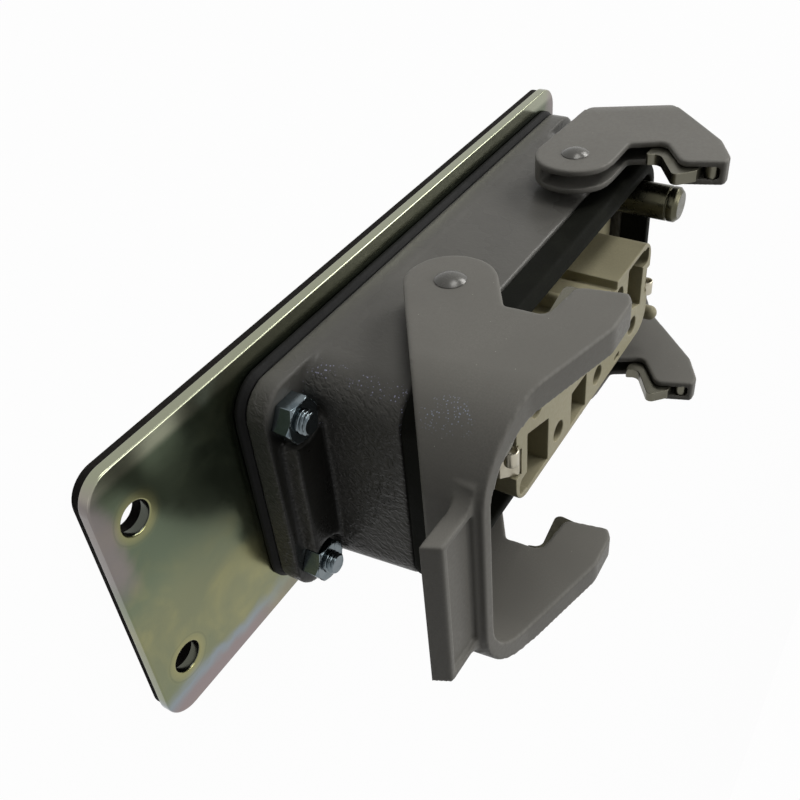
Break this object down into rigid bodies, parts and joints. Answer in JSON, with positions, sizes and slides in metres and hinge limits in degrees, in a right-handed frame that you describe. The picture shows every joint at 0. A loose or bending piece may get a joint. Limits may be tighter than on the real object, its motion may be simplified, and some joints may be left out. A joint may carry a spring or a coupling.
{
  "type": "heavy duty rectangular connector",
  "caption": "Bulkhead half of a rectangular power connector with two locking levers, on a panel adapter plate.",
  "frame": {"origin": "centre of the four panel holes, on the back face of the panel gasket", "axes": "+Z is the mating direction, away from the panel; +X runs along the plate to the end that the housing sits on; +Y is across it"},
  "size_m": [0.1528, 0.0582, 0.0508],
  "materials": {
    "foam_gasket": "matt cellular foam",
    "passivated_plate": "yellow iridescent zinc passivation, half gloss",
    "rubber_gasket": "matt",
    "hammertone_paint": "die-cast body with grey hammertone paint",
    "seal_rubber": "matt",
    "insert_plastic": "moulded pebble grey plastic",
    "contact_metal": "silver plated",
    "zinc_steel": "bright bluish zinc",
    "earth_metal": "tin plated strip",
    "lever_plastic": "satin grey-brown filled plastic",
    "spring_steel": "bare spring steel, satin",
    "pivot_steel": "dull grey rivet",
    "guide_steel": "dull turned steel"
  },
  "bodies": {
    "base": {"panel_gasket": "foam_gasket", "adapter_plate": "passivated_plate", "flange_gasket": "rubber_gasket", "housing_shell": "hammertone_paint", "mating_seal": "seal_rubber", "insert_body": "insert_plastic", "contact_1": "contact_metal", "contact_2": "contact_metal", "contact_3": "contact_metal", "contact_4": "contact_metal", "contact_5": "contact_metal", "contact_6": "contact_metal", "terminal_screw_1": "zinc_steel", "terminal_screw_2": "zinc_steel", "terminal_screw_3": "zinc_steel", "terminal_screw_4": "zinc_steel", "terminal_screw_5": "zinc_steel", "terminal_screw_6": "zinc_steel", "earth_strip_near": "earth_metal", "earth_strip_far": "earth_metal", "earth_screw_near": "zinc_steel", "earth_screw_far": "zinc_steel", "guide_pin": "guide_steel", "guide_bush": "guide_steel", "insert_screw": "zinc_steel", "coding_pin": "insert_plastic", "flange_screw_top": "zinc_steel", "flange_screw_bottom": "zinc_steel", "flange_nut_top": "zinc_steel", "flange_nut_bottom": "zinc_steel", "pivot_pin_near_top": "pivot_steel", "pivot_pin_near_bottom": "pivot_steel", "pivot_pin_far_top": "pivot_steel", "pivot_pin_far_bottom": "pivot_steel"},
    "near_lever": {"lever_near": "lever_plastic", "hook_plate_near_top": "spring_steel", "hook_plate_near_bottom": "spring_steel", "nose_pin_near_top": "spring_steel", "nose_pin_near_bottom": "spring_steel"},
    "far_lever": {"lever_far": "lever_plastic", "hook_plate_far_top": "spring_steel", "hook_plate_far_bottom": "spring_steel", "nose_pin_far_top": "spring_steel", "nose_pin_far_bottom": "spring_steel"}
  },
  "joints": [
    {"name": "near_lever_pivot", "type": "hinge", "parent": "base", "child": "near_lever", "pos_m": [-0.0106, 0, 0.0232], "axis": [0, 1, 0], "range_deg": [-31.2, 30.8]},
    {"name": "far_lever_pivot", "type": "hinge", "parent": "base", "child": "far_lever", "pos_m": [0.0376, 0, 0.0232], "axis": [0, -1, 0], "range_deg": [0, 62]}
  ]
}
